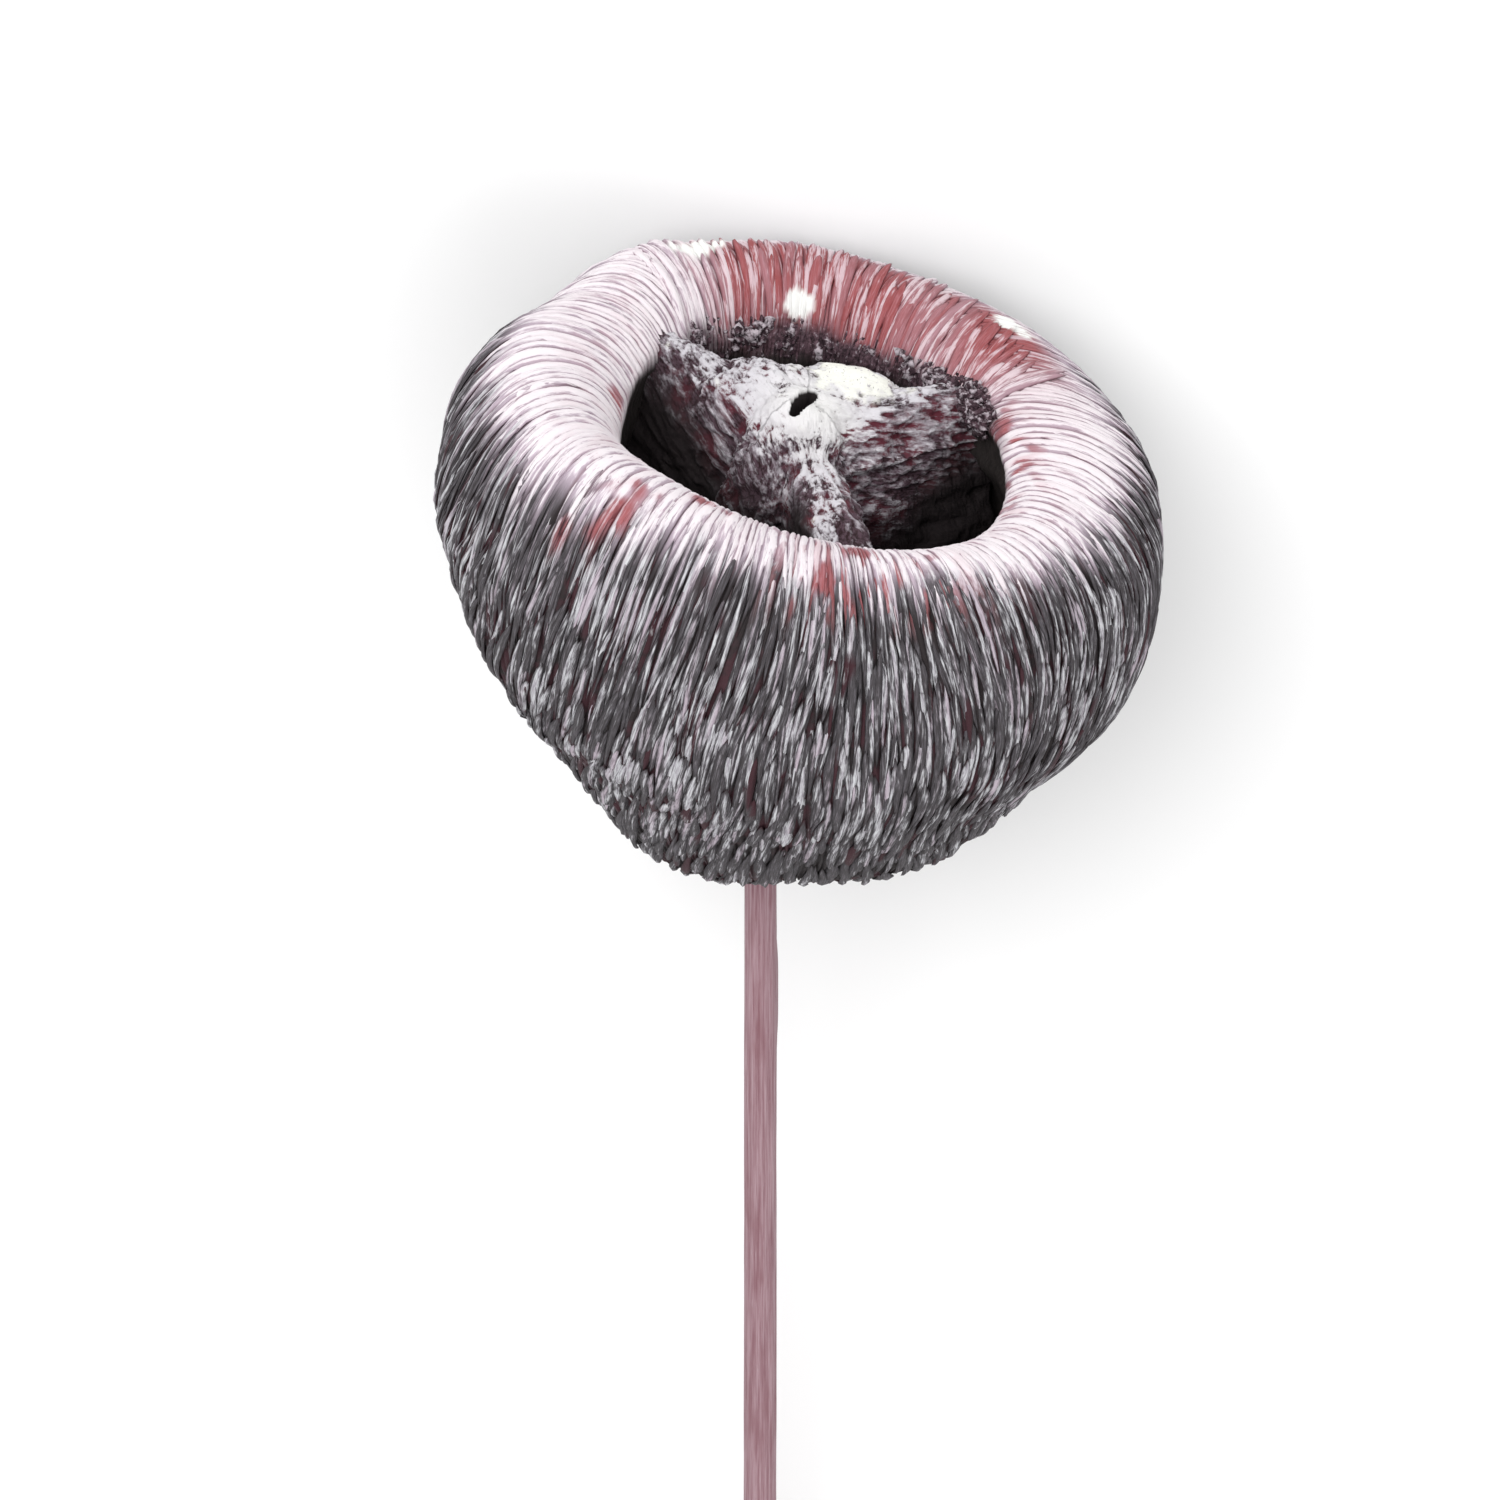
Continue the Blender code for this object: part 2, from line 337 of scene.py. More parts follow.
def paint(turn, bend, chance):
    """How much white, red and wine red there is at a place. chance is drawn for each rib."""
    spots = smooth_husk(turn, bend)
    broad = noise_at(spots, 0.013, 11.0)
    fine = noise_at(spots, 0.0045, 21.0)
    streak = noise_at(np.stack([np.cos(turn) * 20, np.sin(turn) * 20, bend / 15], -1), 1.0, 3.3)
    uneven = bend + 9 * broad + 26 * (chance - 0.5)
    front = near(turn, PINCH_TURN, radians(50))
    sides = 22 * near_degrees(turn, 172, 38)
    sides += 13 * near_degrees(turn, -14, 36)
    white = step_up(uneven, 20 + 16 * front + sides, 80 + 16 * front + sides)
    back = near_degrees(turn, 86, 46)
    inner_back = back ** 0.7 * step_up(bend, 70, 90) * (1 - step_up(bend, 168, 184))
    past_left = turn_from(turn, radians(86)) + 0.10 * fine
    inner_back *= 1 - 0.9 * step_up(past_left, radians(24), radians(40))
    right_back = near_degrees(turn, 40, 17) * step_up(bend, 58, 84)
    right_back *= 1 - step_up(bend, 135, 165)
    right = near_degrees(turn, -2, 38) * step_up(bend, 95, 140)
    fan = near_degrees(turn, -78, 17) * step_up(bend, 20, 55)
    fan *= 1 - step_up(bend, 92, 112)
    left = near_degrees(turn, 170, 30) * step_up(bend, 130, 155)
    red = inner_back * (0.78 + 0.5 * (chance * 7.7 % 1.0))
    red = np.maximum(red, right_back * (1.15 + 0.5 * broad))
    red = np.maximum(red, (1.0 * right + 0.45 * left) * step_up(fine + streak, -0.1, 0.5))
    red = np.maximum(red, 0.9 * fan * (chance * 29.7 % 1.0 < 0.26 + 0.5 * streak))
    smear = spots_of(SMEARS, turn, bend, radians(0.12))
    smear = step_up(smear + 0.75 * fine + 0.45 * streak, 0.42, 0.86) * step_up(smear, 0.05, 0.25)
    red = np.maximum(red, 0.9 * smear)
    red = np.maximum(red, 0.22 * step_up(bend, 60, 110) * step_up(streak, -0.2, 0.5))
    pick = chance * 17.31 % 1.0
    wine = 0.010 + 0.13 * step_up(streak + 0.45 * broad, 0.10, 0.60)
    wine = (pick < wine) * (1 - step_up(bend, 50, 92))
    white *= (1 - 0.9 * right_back * step_up(broad + streak, -0.6, 0.0)) * (1 - 0.45 * smear)
    splash = spots_of(SPLASHES, turn, bend, 0.0)
    ragged = (0.5 * fine + 0.4 * streak) * step_up(splash, 0.10, 0.30)
    splash = step_up(splash + ragged, 0.42, 0.56)
    crumb = near_degrees(turn, 76, 60) ** 0.5 * step_up(bend + 9 * fine, 141, 152)
    crumb *= 1 - step_up(bend, 178, 196)
    values = {"white": white, "red": red, "wine": wine, "splash": splash, "crumb": crumb}
    return {name: np.clip(value, 0, 1) for name, value in values.items()}


def skin_fields(random):
    """Positions and finish values of every point of the skin, as grids of rows by columns."""
    bends = skin_bends()
    rows = len(bends)
    bend = np.repeat(bends[:, None], COLUMNS + 1, 1)
    column = np.repeat(np.arange(COLUMNS + 1)[None, :], rows, 0)
    rib = (column // RIB_COLUMNS) % RIBS
    step = column % RIB_COLUMNS

    widths = random.uniform(0.55, 1.60, RIBS)
    edges = np.concatenate([[0], np.cumsum(widths)]) / widths.sum() * math.tau
    turn = edges[:-1][rib] + (edges[1:] - edges[:-1])[rib] * step / RIB_COLUMNS
    turn[:, -1] = edges[0]

    rough = smooth_husk(turn, bend)
    drift = noise_at(rough, 0.016, 7.3) * 0.034 + noise_at(rough, 0.006, 3.1) * 0.012
    fade = np.clip(np.linalg.norm(rough[..., :2], axis=-1) / 0.02, 0, 1)
    drift *= np.where(bend > 181, 0.0, fade)
    turn_moved = turn + drift + gather(turn, bend)
    smooth = smooth_husk(turn_moved, bend)

    loose = 1 - step_up(bend, 30, 84)
    rise = np.array([0.0, 0.72, 1.0, 1.0, 0.72])[step]
    merged = step_up(noise_at(np.stack([rib * 0.37, bend / 16, 0 * bend], -1), 1.0), 0.1, 0.5)
    rise = np.where(step == 0, 0.40 * merged, rise)
    tall = 0.00052 * random.uniform(0.7, 1.2, RIBS)[rib] * (1 - step_up(bend, 182, 200))
    tall *= np.clip(np.linalg.norm(rough[..., :2], axis=-1) / 0.012, 0, 1)
    tall *= 1 - 0.5 * step_up(bend, 85, 125) * near_degrees(turn, -105, 62)

    height = lumps(smooth, bend) + tall * (rise - 0.55) - 0.0005 * loose
    height += 0.00008 * noise_at(rough, 0.0012, 2.2)
    finish = paint(turn_moved, bend, random.uniform(0, 1, RIBS)[rib])
    finish["wine"] = finish["wine"] * (1 - 0.85 * loose)
    finish["white"] = finish["white"] * (1 - 0.5 * loose)
    height += finish["crumb"] * (0.0010 * noise_at(rough, 0.0022, 9.0) + 0.0004)
    apart = turn_from(turn, PINCH_TURN)
    height -= 0.0012 * bell(apart, 0.045) * step_up(bend, -10, 40)
    points = lean(smooth + outward_from(smooth, bend) * height[..., None])

    # The hollow that the stick's hole leaves in the base.
    to_stick = np.hypot(points[..., 0] - STICK_OFFSET, points[..., 1])
    points[..., 2] += 0.0022 * np.exp(-(to_stick / 0.0034) ** 4) * (bend < -60)

    # Lower crests under the loose fibres give the skin the groove colour there: painted shade
    # under the fibres.
    finish["rise"] = rise * (1 - 0.85 * loose)
    finish["tone"] = random.uniform(0, 1, RIBS)[rib]
    # Deep in the throat the skin turns dark: its dark lining, with painted shade inside the pod.
    sides = np.maximum(near(turn, radians(172), 0.75), near(turn, radians(-5), 0.75))
    finish["dark"] = step_up(bend + 8 * sides + 4 * noise_at(rough, 0.004, 1.0), 157, 167)
    for grid in (points, *finish.values()):
        grid[:, -1] = grid[:, 0]
    return points, finish, way_along(0.0, bends)


def store(mesh, values):
    """Keeps finish values on a mesh's points, where its material reads them."""
    for name, value in values.items():
        layer = mesh.attributes.new(name, "FLOAT", "POINT")
        layer.data.foreach_set("value", np.ascontiguousarray(value, np.float32).ravel())


def store_map(mesh, name, u, v):
    """Gives a mesh a UV map whose corners take their places from its points."""
    corners = np.zeros(len(mesh.loops), np.int32)
    mesh.loops.foreach_get("vertex_index", corners)
    layer = mesh.uv_layers.new(name=name)
    layer.data.foreach_set("uv", np.stack([u[corners], v[corners]], -1).astype(np.float32).ravel())


def make_husk():
    """The husk's skin, from a grid that is bent round, welded and closed at both poles."""
    random = np.random.default_rng(12)
    points, finish, along = skin_fields(random)
    rows = points.shape[0]
    shape = bmesh.new()
    bmesh.ops.create_grid(shape, x_segments=COLUMNS, y_segments=rows - 1, size=0.5)
    flat = as_mesh(shape, "husk_grid")
    grid = get_points(flat)
    columns = np.rint((grid[:, 0] + 0.5) * COLUMNS).astype(int)
    lines = np.rint((grid[:, 1] + 0.5) * (rows - 1)).astype(int)
    set_points(flat, laid_down(points)[lines, columns])
    store(flat, {name: value[lines, columns] for name, value in finish.items()})
    store_map(flat, "rib_map", columns / RIB_COLUMNS, along[lines] * 1000)
    shape = as_shape(flat)
    shape.verts.ensure_lookup_table()
    edge = (columns % COLUMNS == 0) | (lines % (rows - 1) == 0)
    seam = [shape.verts[i] for i in np.flatnonzero(edge)]
    bmesh.ops.remove_doubles(shape, verts=seam, dist=1e-6)
    bmesh.ops.recalc_face_normals(shape, faces=shape.faces)
    for face in shape.faces:
        face.smooth = True
    return finished(shape, "pod_husk", "pod")


# Fibres that lie on the skin.


def many(name, template, count):
    """One mesh that holds a small shape count times, one after the other, and the shape's
    own points."""
    mesh = as_mesh(template, name + "_one")
    for face in mesh.polygons:
        face.use_smooth = True
    single = get_points(mesh)[None]
    body = add_object(name + "_one", mesh)
    row = body.modifiers.new("row", "ARRAY")
    row.count = count
    row.use_relative_offset = False
    repeated = modified(body)
    bpy.data.meshes.remove(mesh)
    return repeated, single


def fibre_bundle(name, fibres, sides, rings, random):
    """Tapered fibres on the husk, each a closed spindle that follows the skin.

    fibres holds one number for each fibre: turn and bend of its middle, length, width, thick,
    slant from the meridian, lift of its free end, level above the skin, tip (1 if the free end
    is the upper one, 0 if it is the lower), peak (where it is widest), follow (how far it
    bends with the ribs) and its chance for the paint."""
    count = len(fibres["turn"])
    template = bmesh.new()
    bmesh.ops.create_uvsphere(template, u_segments=sides, v_segments=rings, radius=1.0)
    mesh, single = many(name, template, count)
    f = {key: np.asarray(value)[:, None] for key, value in fibres.items()}
    share = 1 - np.arccos(np.clip(single[..., 2], -1, 1)) / math.pi
    around = np.arctan2(single[..., 1], single[..., 0]) + 0 * f["turn"]
    share = share + 0 * f["turn"]
    end = np.where(f["tip"] > 0.5, share, 1 - share)
    peak = f["peak"]
    taper = np.where(
        end < peak, (np.maximum(end, 0) / peak) ** 0.75,
        np.clip(1 - (np.maximum(end - peak, 0) / (1 - peak)) ** 1.9, 0, 1) ** 0.7,
    )
    taper = np.where((share < 1e-4) | (share > 1 - 1e-4), 0.0, taper)
    up = np.sin(around)
    across = 0.5 * f["width"] * taper * np.cos(around)
    across += 0.14 * f["width"] * np.sin(5.0 * share + 40 * f["chance"])
    along = (share - 0.5) * f["length"]
    height = f["thick"] * taper ** 0.6 * np.where(up > 0, up, 0.45 * up)
    height += f["lift"] * (end ** 2 - 0.25) + f["level"]

    middle = smooth_husk(f["turn"], f["bend"])
    radius = np.maximum(np.linalg.norm(middle[..., :2], axis=-1), 0.004)
    bends, line = skin_line()
    sine, cosine = np.sin(f["slant"]), np.cos(f["slant"])
    turn = f["turn"] + (along * sine + across * cosine) / radius
    spot = np.interp(f["bend"], bends, line) + along * cosine - across * sine
    bend = np.clip(np.interp(spot, line, bends), -89.9, 176)
    turn = turn + f["follow"] * (gather(f["turn"], bend) - gather(f["turn"], f["bend"]))
    smooth = smooth_husk(turn, bend)
    height = height + lumps(smooth, bend)
    points = lean(smooth + outward_from(smooth, bend) * height[..., None])
    set_points(mesh, laid_down(points))
    finish = paint(turn, bend, f["chance"] + 0 * turn)
    # The fibre's upper side takes the whitewash and its underside the groove colour, painted shade
    # under the fibre.
    finish["rise"] = np.clip(0.12 + (0.66 + 0.24 * end) * up * np.minimum(1, taper * 1.4), 0, 1)
    finish["tone"] = random.uniform(0, 1, (count, 1)) * (0.65 + 0.35 * step_up(bend, -44, -22))
    # Fibres deep in the throat turn dark: painted shade inside the pod.
    finish["dark"] = step_up(bend, 160, 178)
    store(mesh, finish)
    offset = np.arange(count)[:, None] * 7.31
    store_map(mesh, "rib_map", (offset + across * 900).ravel(), (offset + along * 1000).ravel())
    shape = as_shape(mesh)
    bmesh.ops.recalc_face_normals(shape, faces=shape.faces)
    return finished(shape, name, "pod")


def outside_fibres(random):
    """Where the fibres on the outside lie: short scales below, long strands under the rim."""
    rows = []
    bends, line = skin_line()
    spot = 0.0045
    while spot < np.interp(84, bends, line):
        bend = np.interp(spot, line, bends)
        upper = step_up(bend, -46, 10)
        under = 1 - step_up(bend, -62, -22)
        length = 0.0076 + 0.0109 * upper + 0.0050 * under
        width = 0.00162 - 0.00062 * upper
        thick = 0.00050 - 0.00012 * upper - 0.00012 * under
        ring = smooth_husk(np.linspace(-3.1, 3.1, 60), np.full(60, bend))
        radius = np.linalg.norm(ring[:, :2], axis=-1).mean()
        count = max(6, int(math.tau * radius / (width * 1.02)))
        step = (0.25 + 0.07 * under) * length
        hang = step_up(-bend, 16, 40)
        lift = 0.00022 - 0.00012 * upper + 0.00038 * hang
        turn = (np.arange(count) + random.uniform(-0.4, 0.4, count) + random.uniform()) / count
        turn = turn * math.tau
        place = np.interp(spot + step * random.uniform(-0.9, 0.9, count), line, bends)
        size = random.uniform(0.55, 1.45, count)
        rows.append({
            "turn": turn, "bend": place, "length": length * size,
            "width": width * random.uniform(0.65, 1.25, count),
            "thick": thick * random.uniform(0.7, 1.2, count),
            "lift": lift * random.uniform(0.2, 1.3, count),
            "level": random.uniform(-0.00050, 0.00008, count) - 0.00010,
            "tip": np.full(count, 1.0 - round(hang)), "peak": random.uniform(0.45, 0.75, count),
            "chance": random.uniform(0, 1, count),
            "slant": random.normal(0, 0.040, count),
        })
        spot += step
    fibres = {key: np.concatenate([row[key] for row in rows]) for key in rows[0]}
    turn, bend = fibres["turn"], fibres["bend"]
    spots = smooth_husk(turn, bend)
    up = smooth_husk(turn, bend + 0.5) - smooth_husk(turn, bend - 0.5)
    speed = np.maximum(np.linalg.norm(up, axis=-1), 1e-5)
    # Near the base the front's fibres all lean the same way, as the camera sees them.
    aim = np.radians(79 - 15 * np.cos(turn) ** 2 + 9 * step_up(bend, -30, 0) * np.cos(turn))
    aim -= radians(11) * (1 - step_up(bend, -38, -16))
    across = np.stack([-np.sin(aim), VIEW_SINE * np.cos(aim), VIEW_COSINE * np.cos(aim)], -1)
    side = np.stack([-np.sin(turn), np.cos(turn), 0 * turn], -1)
    rise = np.sum(up / speed[:, None] * across, -1)
    sideways = np.sum(side * across, -1)
    lie = np.clip(np.arctan(-rise / np.where(np.abs(sideways) < 0.2, -0.2, sideways)), -1.0, 1.0)
    low = 1 - step_up(bend + 24 * np.cos(turn), -36, 14)
    low = low * near_degrees(turn, -95, 84) ** 0.7
    seen = np.hypot(up[:, 0], VIEW_SINE * up[:, 1] + VIEW_COSINE * up[:, 2]) / speed
    seen = 1 - low * (1 - np.clip(seen, 0.15, 1))
    fibres["slant"] = (fibres["slant"] + 0.08 * noise_at(spots, 0.014, 17.0)) * seen
    fibres["slant"] += lie * low
    fibres["follow"] = 1 - low
    keep = np.hypot(spots[:, 0] - STICK_OFFSET, spots[:, 1]) > STICK_CLEARANCE
    keep &= random.uniform(0, 1, len(turn)) > 0.08
    return {key: value[keep] for key, value in fibres.items()}


def back_fibres(random):
    """Coarse torn fibres down the inside of the back of the rim, ragged at the top."""
    turns = []
    turn = radians(22)
    while turn < radians(130):
        turns.append(turn)
        turn += random.uniform(0.022, 0.048)
    turn = np.repeat(np.array(turns), 2) + random.uniform(-0.010, 0.010, len(turns) * 2)
    count = len(turn)
    second = np.arange(count) % 2
    length = 0.0190 * random.uniform(0.80, 1.20, count) * (1 - 0.30 * second)
    return {
        "turn": turn, "bend": 124 + 8 * second + random.uniform(-3, 3, count),
        "length": length, "width": random.uniform(0.0009, 0.0019, count),
        "thick": random.uniform(0.0005, 0.0011, count),
        "lift": random.uniform(0.0, 1.0, count) ** 3 * 0.0011 + 0.0001,
        "level": np.zeros(count),
        "tip": np.zeros(count), "peak": random.uniform(0.45, 0.75, count),
        "chance": random.uniform(0, 1, count),
        "slant": random.normal(0, 0.035, count) - 0.35 * near(turn, radians(36), 0.22),
        "follow": np.zeros(count),
    }


def make_crumbs(random):
    """Woolly crumbs along the foot of the back wall and beside the arms' ends."""
    count = CRUMBS
    template = bmesh.new()
    bmesh.ops.create_icosphere(template, subdivisions=1, radius=1.0)
    mesh, single = many("pod_crumbs", template, count)
    turn = np.radians(random.uniform(12, 128, count))
    ends = near(turn, radians(121), 0.17) + near(turn, radians(28), 0.26)
    bend = random.triangular(143, 153, 163, count)
    bend += np.clip(ends, 0, 1) * random.uniform(-18, 14, count)
    clumps = noise_at(smooth_husk(turn, bend), 0.0024, 2.0)
    size = random.uniform(0.00025, 0.00070, (count, 1, 1))
    middle = smooth_husk(turn, bend)
    way = outward_from(middle, bend)
    lift = random.uniform(-0.0002, 0.0009, (count, 1)) + 0.0011 * clumps[:, None]
    middle = middle + way * lift
    stretch = random.uniform(0.55, 1.25, (count, 1, 3))
    points = single * size * stretch + middle[:, None, :]
    swell = noise_at(points, 0.0005, 5.5)[..., None]
    points = lean(points + single * size * 0.9 * swell)
    set_points(mesh, laid_down(points))
    store(mesh, {
        # rise: how far a crumb's surface stands out, which gets a painted highlight.
        "rise": np.clip(0.45 + 0.6 * swell[..., 0] + 0.7 * clumps[:, None], 0, 1),
        "tone": random.uniform(0, 1, (count, 1)) + 0 * swell[..., 0],
        # Crumbs deeper in the throat turn dark: painted shade inside the pod.
        "dark": step_up(bend, 158, 176)[:, None] + 0 * swell[..., 0],
    })
    return finished(as_shape(mesh), "pod_crumbs", "pod")


# The partition.

# Each arm: turn, reach, width at the hub and at the husk, how far its top lies below the
# hub's at either end, how far its front edge lies lower, and on which side its front is.
ARMS = [
    (radians(-80), 0.0285, 0.0046, 0.0064, 0.0030, 0.0070, 0.0000, 1),
    (radians(29), 0.0262, 0.0090, 0.0050, 0.0000, 0.0024, 0.0026, -1),
    (radians(147), 0.0270, 0.0100, 0.0078, 0.0004, 0.0012, 0.0046, 1),
]
# The threads in each arm's face: how they rise towards the husk, and how long they are.
THREADS = [(-0.55, 0.20), (-0.16, 0.34), (0.70, 0.14)]
# The swellings that the arms melt into: middle and half sizes.
DOMES = [
    (HUB + Vector((-0.0006, -0.0002, HUB_TOP - 0.0070)), (0.0066, 0.0064, 0.0070)),
    (Vector((0.0052, 0.0092, HUB_TOP - 0.0048)), (0.0100, 0.0064, 0.0048)),
    (Vector((-0.0060, 0.0080, HUB_TOP - 0.0052)), (0.0076, 0.0060, 0.0056)),
    (Vector((-0.0008, 0.0086, HUB_TOP - 0.0050)), (0.0058, 0.0048, 0.0052)),
    (Vector((-0.0036, -0.0008, -0.0010)), (0.0056, 0.0062, 0.0090)),
]
PITH_VOXEL = 0.00028
SMOOTHINGS = 9
PITH_DEPTH = 0.034
CREAM_SPOT = (0.0064, 0.0100)
# The small slanted hole in the hub.
BORE = (0.0001, 0.0018)
BORE_SIZE = (0.00092, 0.0032)
BORE_LEAN = radians(26)
BORE_DEPTH = 0.0085
# Below this level the walls are squeezed while they melt, so that they need fewer faces.
SQUEEZE_FROM = -0.002
SQUEEZE = 5.0


def arm_slab(shape, turn, reach, width, end_width, first, last, tilt, front):
    """One arm of the partition: a wall from the hub to the husk that thickens downwards."""
    bmesh.ops.create_cube(shape, size=1.0)
    fresh = [v for v in shape.verts if not v.tag]
    edges = list({e for v in fresh for e in v.link_edges})
    bmesh.ops.subdivide_edges(shape, edges=edges, cuts=9, use_grid_fill=True)
    way = Vector((math.cos(turn), math.sin(turn), 0))
    side = Vector((-math.sin(turn), math.cos(turn), 0)) * front
    for vertex in [v for v in shape.verts if not v.tag]:
        along, across, up = vertex.co.x + 0.5, vertex.co.y, vertex.co.z + 0.5
        thick = width + (end_width - width) * along + 0.0050 * (1 - up) ** 0.7
        top = HUB_TOP - first - (last - first) * along - 0.0014 * abs(2 * across) ** 3
        top -= tilt * 2 * max(0.0, across + 0.1) ** 1.3
        level = -PITH_DEPTH + (top + PITH_DEPTH) * up
        deep = 1 - up
        spot = HUB + way * (reach * along * (1 + 0.30 * deep - 0.62 * deep ** 3) - 0.001)
        spot += side * (thick * across)
        spot += side * 0.0016 * (1 - up)
        if level < SQUEEZE_FROM:
            level = SQUEEZE_FROM + (level - SQUEEZE_FROM) / SQUEEZE
        vertex.co = (spot.x, spot.y, level)
        vertex.tag = True


def make_partition():
    """Three arms and a broad hub, melted into one body, then crumpled like dry pith."""
    shape = bmesh.new()
    for arm in ARMS:
        arm_slab(shape, *arm)
    for middle, radii in DOMES:
        place = Matrix.Translation(middle) @ Matrix.Diagonal((*radii, 1))
        bmesh.ops.create_uvsphere(shape, u_segments=32, v_segments=18, radius=1.0, matrix=place)
    rough = add_object("partition_rough", as_mesh(shape, "partition_rough"))
    melt = rough.modifiers.new("melt", "REMESH")
    melt.mode = "VOXEL"
    melt.voxel_size = PITH_VOXEL
    body = as_shape(modified(rough))
    for _ in range(SMOOTHINGS):
        bmesh.ops.smooth_vert(
            body, verts=body.verts, factor=0.5, use_axis_x=True, use_axis_y=True, use_axis_z=True
        )
    crumple(body)
    return finished(body, "pod_partition", "pod")


def strands(points):
    """Where each point lies across and along the fibres of the arm that it is nearest to."""
    apart = points - np.array(HUB)
    angle = np.arctan2(apart[:, 1], apart[:, 0])
    best, result = np.full(len(points), 9.0), np.zeros_like(points)
    for arm, (rise, length) in zip(ARMS, THREADS):
        off = np.abs(turn_from(angle, arm[0]))
        way = np.array([math.cos(arm[0]), math.sin(arm[0]), rise])
        way /= np.linalg.norm(way)
        side = np.array([-math.sin(arm[0]), math.cos(arm[0]), 0.0])
        up = np.cross(way, side)
        here = np.stack([apart @ side, apart @ up, length * (apart @ way)], -1)
        result = np.where((off < best)[:, None], here, result)
        best = np.minimum(best, off)
    return result / 0.00075


def arm_faces(points):
    """1 on the arms' faces towards the front, which stay dark, and 0 on their tops."""
    x, y = 1000 * (points[:, 0] - HUB.x), 1000 * (points[:, 1] - HUB.y)
    right, left = ARMS[1][0], ARMS[2][0]
    before_right = x * math.sin(right) - y * math.cos(right)
    before_left = -x * math.sin(left) + y * math.cos(left)
    right_face = step_up(before_right - 3.3 + 0.28 * (x - 5), -0.3, 0.8) * step_up(x, 3.6, 5.0)
    left_face = step_up(before_left - 6.2 - 0.62 * (x + 6), -0.3, 1.0) * (1 - step_up(x, -5, -3))
    flank = (1 - step_up(x + 0.176 * y, -2.6, -1.6)) * (1 - step_up(y, -7, -4.5))
    return np.maximum(np.maximum(right_face, left_face), flank)


def pith_folds(points, normals):
    """How far each point of the pith stands out, and the finish values that go with it."""
    big = noise_at(points, 0.0055, 3.3)
    crust = noise_at(points, 0.0021, 8.4)
    fine = noise_at(points, 0.0009, 1.4)
    strand = strands(points + 0.0008 * np.stack([big, crust, -big], -1))
    fold = 1 - 2.4 * np.abs(noise_at(strand, 2.3, 6.1))
    thread = 1 - 2.4 * np.abs(noise_at(strand, 1.15, 2.7))
    crack = 1 - step_up(np.abs(noise_at(points, 0.0023, 5.2) + 0.45 * fine), 0.01, 0.10)
    faces = arm_faces(points + 0.0006 * crust[:, None])
    top = step_up(normals[:, 2] + 0.15 * big, 0.10, 0.80) * (1 - 0.8 * faces)
    cream = bell(points[:, 0] - CREAM_SPOT[0], 0.0062)
    cream *= bell(points[:, 1] - CREAM_SPOT[1], 0.0040)
    cream = step_up(cream + 0.45 * crust + 0.3 * fine, 0.25, 0.70) * step_up(top, 0.3, 0.7)
    from_hub = np.linalg.norm((points[:, :2] - np.array([0.0014, 0.0016])) / 0.0062, axis=-1)
    hub = np.exp(-from_hub ** 2) * step_up(normals[:, 2], -0.1, 0.4) * (points[:, 2] > 0.003)
    right = step_up(points[:, 0], 0.002, 0.005)
    ledge = bell(points[:, 2] - 0.0042 - 0.0009 * big, 0.0007) * right
    x, y = points[:, 0] - BORE[0], points[:, 1] - BORE[1]
    sine, cosine = math.sin(BORE_LEAN), math.cos(BORE_LEAN)
    bore = np.hypot((x * cosine - y * sine) / BORE_SIZE[0], (x * sine + y * cosine) / BORE_SIZE[1])
    lip = bell(bore - 1.35, 0.35) * top
    # Inside the bore the pith sinks and is painted in shade.
    bore = (1 - step_up(bore + 0.10 * fine, 0.82, 1.05)) * (points[:, 2] > 0.004)
    rough = (1 - 0.80 * cream) * (1 - 0.55 * hub)
    push = 0.0010 * big + (0.00060 * fold + 0.00034 * thread) * rough * (1 - 0.35 * top)
    push += (0.00040 * crust + 0.00026 * fine) * (0.2 + 0.8 * top) * rough
    push -= 0.00022 * crack * rough
    push += 0.0010 * ledge * (1 - top) + 0.0003 * cream + 0.0001 * lip
    pit = np.maximum(step_up(-fold - 0.6 * fine, 0.2, 0.8), 0.8 * crack) * rough
    # depth: painted shade, darker deeper in the pod and on the faces away from the tops.
    reach = np.linalg.norm(points[:, :2] - np.array(HUB)[:2], axis=-1)
    sunk = (HUB_TOP - points[:, 2]) / 0.027
    sunk += (1 - top) * (1 - right) * 0.42 * step_up(reach, 0.006, 0.019)
    sunk += (1 - top) * right * (0.30 * step_up(reach, 0.012, 0.022) - 0.17)
    values = {
        "top": top, "fold": np.clip(0.5 + 0.35 * fold + 0.25 * thread, 0, 1), "cream": cream,
        "pit": pit, "depth": np.clip(sunk, 0, 1), "bore": 14.0 * bore, "ledge": ledge, "hub": hub,
    }
    return push, bore, values


def crumple(body):
    """Pith folds and fibres: long wrinkles along the arms, crusty lumps on top, the bore."""
    for vertex in body.verts:
        if vertex.co.z < SQUEEZE_FROM:
            vertex.co.z = SQUEEZE_FROM + (vertex.co.z - SQUEEZE_FROM) * SQUEEZE
    body.normal_update()
    points = np.array([v.co for v in body.verts])
    normals = np.array([v.normal for v in body.verts])
    push, bore, values = pith_folds(points, normals)
    moved = points + normals * push[:, None]
    moved[:, 2] -= BORE_DEPTH * bore
    laid = laid_down(lean(moved))
    for vertex, spot in zip(body.verts, laid.tolist()):
        vertex.co = spot
    for name, value in values.items():
        layer = body.verts.layers.float.new(name)
        for vertex, number in zip(body.verts, value.tolist()):
            vertex[layer] = number
    layer = body.verts.layers.float_vector.new("strand")
    for vertex, spot in zip(body.verts, strands(points).tolist()):
        vertex[layer] = spot
    for face in body.faces:
        face.smooth = True


# The stick.


